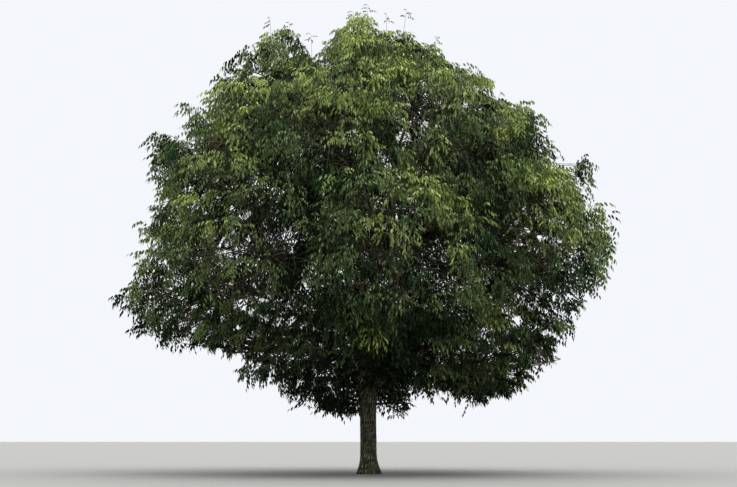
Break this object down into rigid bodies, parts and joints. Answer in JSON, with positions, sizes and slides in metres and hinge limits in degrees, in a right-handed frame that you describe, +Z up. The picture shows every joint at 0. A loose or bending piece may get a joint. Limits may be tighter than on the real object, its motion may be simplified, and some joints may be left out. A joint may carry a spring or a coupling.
{
  "type": "ash tree",
  "caption": "Open-grown broadleaf tree with a short straight trunk, boughs, and a dense rounded crown of drooping compound leaves, rooted in level ground.",
  "frame": {"origin": "middle of the flat cut under the trunk, at ground level", "axes": "+Z up the trunk, +X to the right of the pictured side, -Y towards its viewer"},
  "size_m": [12.9238, 12.9593, 12.3511],
  "materials": {
    "bark": "dull furrowed olive-brown bark",
    "leaf": "soft mid to dark green compound leaves"
  },
  "bodies": {
    "root": {"trunk": "bark", "bough_skirt_1": "bark", "bough_skirt_2": "bark", "bough_skirt_3": "bark", "bough_skirt_4": "bark", "bough_skirt_5": "bark", "bough_skirt_6": "bark", "bough_skirt_7": "bark", "leader_1": "bark", "leader_2": "bark", "leader_3": "bark", "leader_4": "bark", "limb_lower_1": "bark", "limb_lower_2": "bark", "limb_lower_3": "bark", "limb_lower_4": "bark", "limb_lower_5": "bark", "limb_lower_6": "bark", "limb_lower_7": "bark", "limb_lower_8": "bark", "limb_upper_1": "bark", "limb_upper_2": "bark", "limb_upper_3": "bark", "limb_upper_4": "bark", "limb_upper_5": "bark", "limb_upper_6": "bark", "limb_upper_7": "bark", "limb_upper_8": "bark", "foliage_skirt_1": "leaf", "foliage_skirt_2": "leaf", "foliage_skirt_3": "leaf", "foliage_skirt_4": "leaf", "foliage_skirt_5": "leaf", "foliage_skirt_6": "leaf", "foliage_skirt_7": "leaf", "foliage_lower_1": "leaf", "foliage_lower_2": "leaf", "foliage_lower_3": "leaf", "foliage_lower_4": "leaf", "foliage_lower_5": "leaf", "foliage_lower_6": "leaf", "foliage_lower_7": "leaf", "foliage_lower_8": "leaf", "foliage_upper_1": "leaf", "foliage_upper_2": "leaf", "foliage_upper_3": "leaf", "foliage_upper_4": "leaf", "foliage_upper_5": "leaf", "foliage_upper_6": "leaf", "foliage_upper_7": "leaf", "foliage_upper_8": "leaf", "foliage_crest_1": "leaf", "foliage_crest_2": "leaf", "foliage_crest_3": "leaf", "foliage_crest_4": "leaf", "foliage_top": "leaf", "foliage_inner_1": "leaf", "foliage_inner_2": "leaf"}
  },
  "joints": []
}
